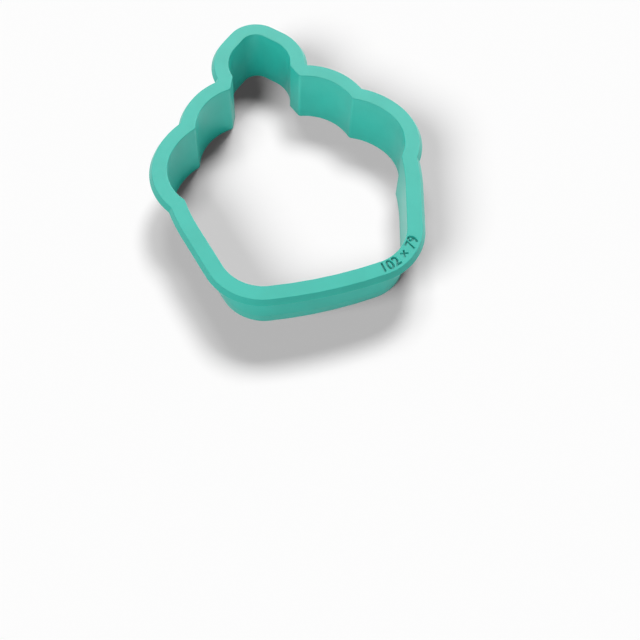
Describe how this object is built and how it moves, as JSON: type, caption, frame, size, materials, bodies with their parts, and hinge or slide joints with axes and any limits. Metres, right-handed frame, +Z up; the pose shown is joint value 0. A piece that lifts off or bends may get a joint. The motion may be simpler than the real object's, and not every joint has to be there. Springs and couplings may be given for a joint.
{
  "type": "cookie cutter",
  "caption": "Open plastic cookie cutter in the outline of a cupcake with a lit candle: a broad flat grip rim over a thin upright wall that tapers to a cutting edge.",
  "frame": {"origin": "centre of the cutter's box, on the plane of the cutting edge that it stands on", "axes": "+Z up from the cutting edge to the grip rim, +Y along the cupcake from the foot of the cup to the tip of the flame, +X to the right of the cupcake seen from above"},
  "size_m": [0.0912, 0.1135, 0.0211],
  "materials": {
    "teal_plastic": "satin"
  },
  "bodies": {
    "root": {"grip_rim": "teal_plastic", "cutter_wall": "teal_plastic", "cutting_edge": "teal_plastic"}
  },
  "joints": []
}
